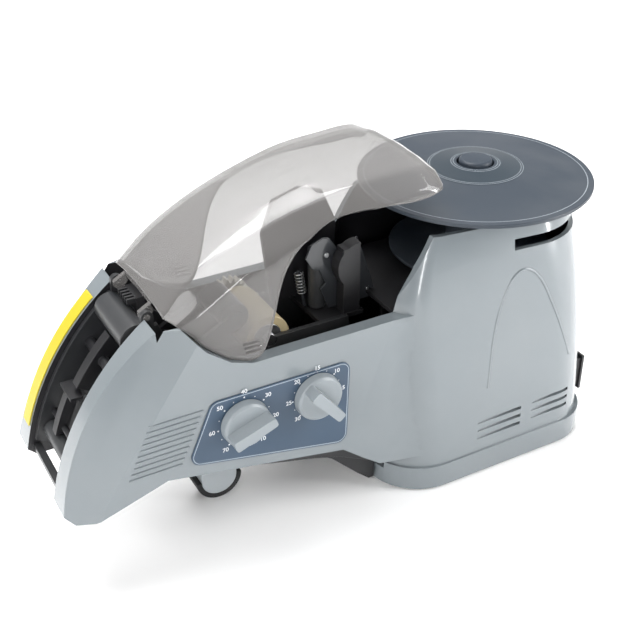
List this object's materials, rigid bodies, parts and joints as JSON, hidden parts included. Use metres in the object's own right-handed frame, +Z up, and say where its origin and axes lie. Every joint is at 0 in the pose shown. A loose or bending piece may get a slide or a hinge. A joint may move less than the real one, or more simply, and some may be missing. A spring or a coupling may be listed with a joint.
{
  "type": "electric tape dispenser",
  "caption": "Desk-top electric tape dispenser: flat tape reel on a tower, smoked clear cover, curved beak with feed rollers and cutter, two setting dials.",
  "frame": {"origin": "middle of the whole part's length and width, on the table it stands on", "axes": "+X from the beak towards the reel tower (the long way), +Z up, -Y the side with the dials"},
  "size_m": [0.29, 0.116, 0.1697],
  "materials": {
    "housing_grey": "glossy moulded plastic, light bluish grey",
    "smoked_clear": "smoked transparent plastic, polished",
    "black_plastic": "fine grained black plastic",
    "panel_blue_grey": "satin printed label in blue grey",
    "caution_yellow": "plain yellow label, satin",
    "knob_grey": "light grey satin plastic",
    "slate": "dark slate satin plastic",
    "dark_rubber": "matt black rubber",
    "silicone": "beige silicone rubber, satin",
    "steel": "turned and brushed steel",
    "plate_steel": "black painted sheet steel, satin",
    "gear_white": "off white acetal",
    "roller_grey": "dark grey satin plastic",
    "board_green": "green circuit board",
    "blade_steel": "ground blade steel"
  },
  "bodies": {
    "housing": {"near_side_shell": "housing_grey", "far_side_shell": "housing_grey", "base_plate": "black_plastic", "base_screws": "steel", "rubber_feet": "dark_rubber", "arm_under_cover": "black_plastic", "front_foot_pad": "dark_rubber", "front_foot": "knob_grey", "control_panel": "panel_blue_grey", "caution_strip": "caution_yellow", "length_potentiometer": "plate_steel", "width_potentiometer": "plate_steel", "reel_chamber_floor": "black_plastic", "spindle_bush": "gear_white", "chassis_near_plate": "plate_steel", "chassis_far_plate": "plate_steel", "chassis_spacers": "steel", "idler_pin": "steel", "feed_motor": "steel", "twist_guide": "black_plastic", "twist_guide_back": "black_plastic", "twist_roller_pin": "steel", "tape_comb": "black_plastic", "guide_rib": "black_plastic", "fixed_blade": "blade_steel", "beak_bottom_bar": "steel", "tape_sensor": "black_plastic", "control_board": "board_green", "power_module": "black_plastic", "board_components": "black_plastic", "switch_housing": "black_plastic", "power_inlet": "black_plastic"},
    "cover": {"clear_cover": "smoked_clear"},
    "length_dial": {"length_knob": "knob_grey", "length_dial_shaft": "steel"},
    "width_dial": {"width_knob": "knob_grey", "width_dial_shaft": "steel"},
    "rocker": {"power_rocker": "black_plastic"},
    "reel": {"reel_spindle": "steel", "reel_flange": "slate", "reel_hub": "slate", "reel_lid": "slate"},
    "cap": {"release_cap": "slate"},
    "twist_idler": {"twist_roller": "roller_grey"},
    "top_roller": {"top_front_roller": "roller_grey"},
    "low_roller": {"lower_front_roller": "roller_grey"},
    "feed_roller": {"feed_roller_sleeve": "silicone", "feed_roller_core": "steel", "feed_gear": "gear_white"},
    "idler": {"idler_gear": "gear_white"},
    "motor_rotor": {"motor_pinion": "gear_white", "motor_shaft": "steel"},
    "pinch_lever": {"pinch_arm": "black_plastic"},
    "pinch_wheel": {"pinch_roller": "roller_grey"},
    "cutter": {"cutter_lever": "plate_steel", "moving_blade": "blade_steel"},
    "tape_finger": {"tape_lever": "black_plastic"}
  },
  "joints": [
    {"name": "cover_hinge", "type": "hinge", "parent": "housing", "child": "cover", "pos_m": [-0.0945, 0, 0.1215], "axis": [0, -1, 0], "range_deg": [0, 75]},
    {"name": "length_turn", "type": "hinge", "parent": "housing", "child": "length_dial", "pos_m": [-0.0616, -0.0435, 0.0694], "axis": [0, -1, 0], "range_deg": [-65, 205]},
    {"name": "width_turn", "type": "hinge", "parent": "housing", "child": "width_dial", "pos_m": [-0.025, -0.0435, 0.0712], "axis": [0, -1, 0], "range_deg": [0, 270]},
    {"name": "power_switch_rock", "type": "hinge", "parent": "housing", "child": "rocker", "pos_m": [0.1366, -0.032, 0.028], "axis": [0, 1, 0], "range_deg": [0, 20]},
    {"name": "reel_spin", "type": "hinge", "parent": "housing", "child": "reel", "pos_m": [0.087, 0, 0.12], "axis": [0, 0, 1], "continuous": true},
    {"name": "release_cap_press", "type": "slide", "parent": "reel", "child": "cap", "axis": [0, 0, -1], "range_m": [0, 0.0025], "stiffness_N_per_m": 400, "springref_m": -0.002},
    {"name": "twist_roller_spin", "type": "hinge", "parent": "housing", "child": "twist_idler", "pos_m": [-0.004, -0.003, 0.108], "axis": [0, 0, 1], "continuous": true},
    {"name": "top_roller_spin", "type": "hinge", "parent": "housing", "child": "top_roller", "pos_m": [-0.0995, 0, 0.1105], "axis": [0, 1, 0], "continuous": true},
    {"name": "low_roller_spin", "type": "hinge", "parent": "housing", "child": "low_roller", "pos_m": [-0.1325, 0, 0.0545], "axis": [0, 1, 0], "continuous": true},
    {"name": "feed_roller_spin", "type": "hinge", "parent": "housing", "child": "feed_roller", "pos_m": [-0.037, 0, 0.092], "axis": [0, 1, 0], "continuous": true},
    {"name": "idler_spin", "type": "hinge", "parent": "housing", "child": "idler", "pos_m": [-0.02125, 0.0265, 0.07389], "axis": [0, 1, 0], "continuous": true},
    {"name": "motor_spin", "type": "hinge", "parent": "housing", "child": "motor_rotor", "pos_m": [-0.00813, 0.02, 0.05879], "axis": [0, 1, 0], "continuous": true},
    {"name": "pinch_arm_lift", "type": "hinge", "parent": "housing", "child": "pinch_lever", "pos_m": [-0.076, 0, 0.091], "axis": [0, -1, 0], "range_deg": [0, 12], "stiffness_Nm_per_rad": 0.3, "springref_deg": -5.73},
    {"name": "pinch_roller_spin", "type": "hinge", "parent": "pinch_lever", "child": "pinch_wheel", "pos_m": [-0.0508, 0, 0.1043], "axis": [0, 1, 0], "continuous": true},
    {"name": "cutter_stroke", "type": "hinge", "parent": "housing", "child": "cutter", "pos_m": [-0.1, 0, 0.062], "axis": [0, -1, 0], "range_deg": [0, 10], "stiffness_Nm_per_rad": 0.12, "springref_deg": -11.46},
    {"name": "tape_finger_swing", "type": "hinge", "parent": "housing", "child": "tape_finger", "pos_m": [-0.1305, 0, 0.063], "axis": [0, 1, 0], "range_deg": [0, 6], "stiffness_Nm_per_rad": 0.05, "springref_deg": -8.59}
  ],
  "couplings": [
    {"joint": "idler_spin", "follows": "feed_roller_spin", "ratio": -0.71429},
    {"joint": "motor_spin", "follows": "feed_roller_spin", "ratio": 1.6667}
  ]
}
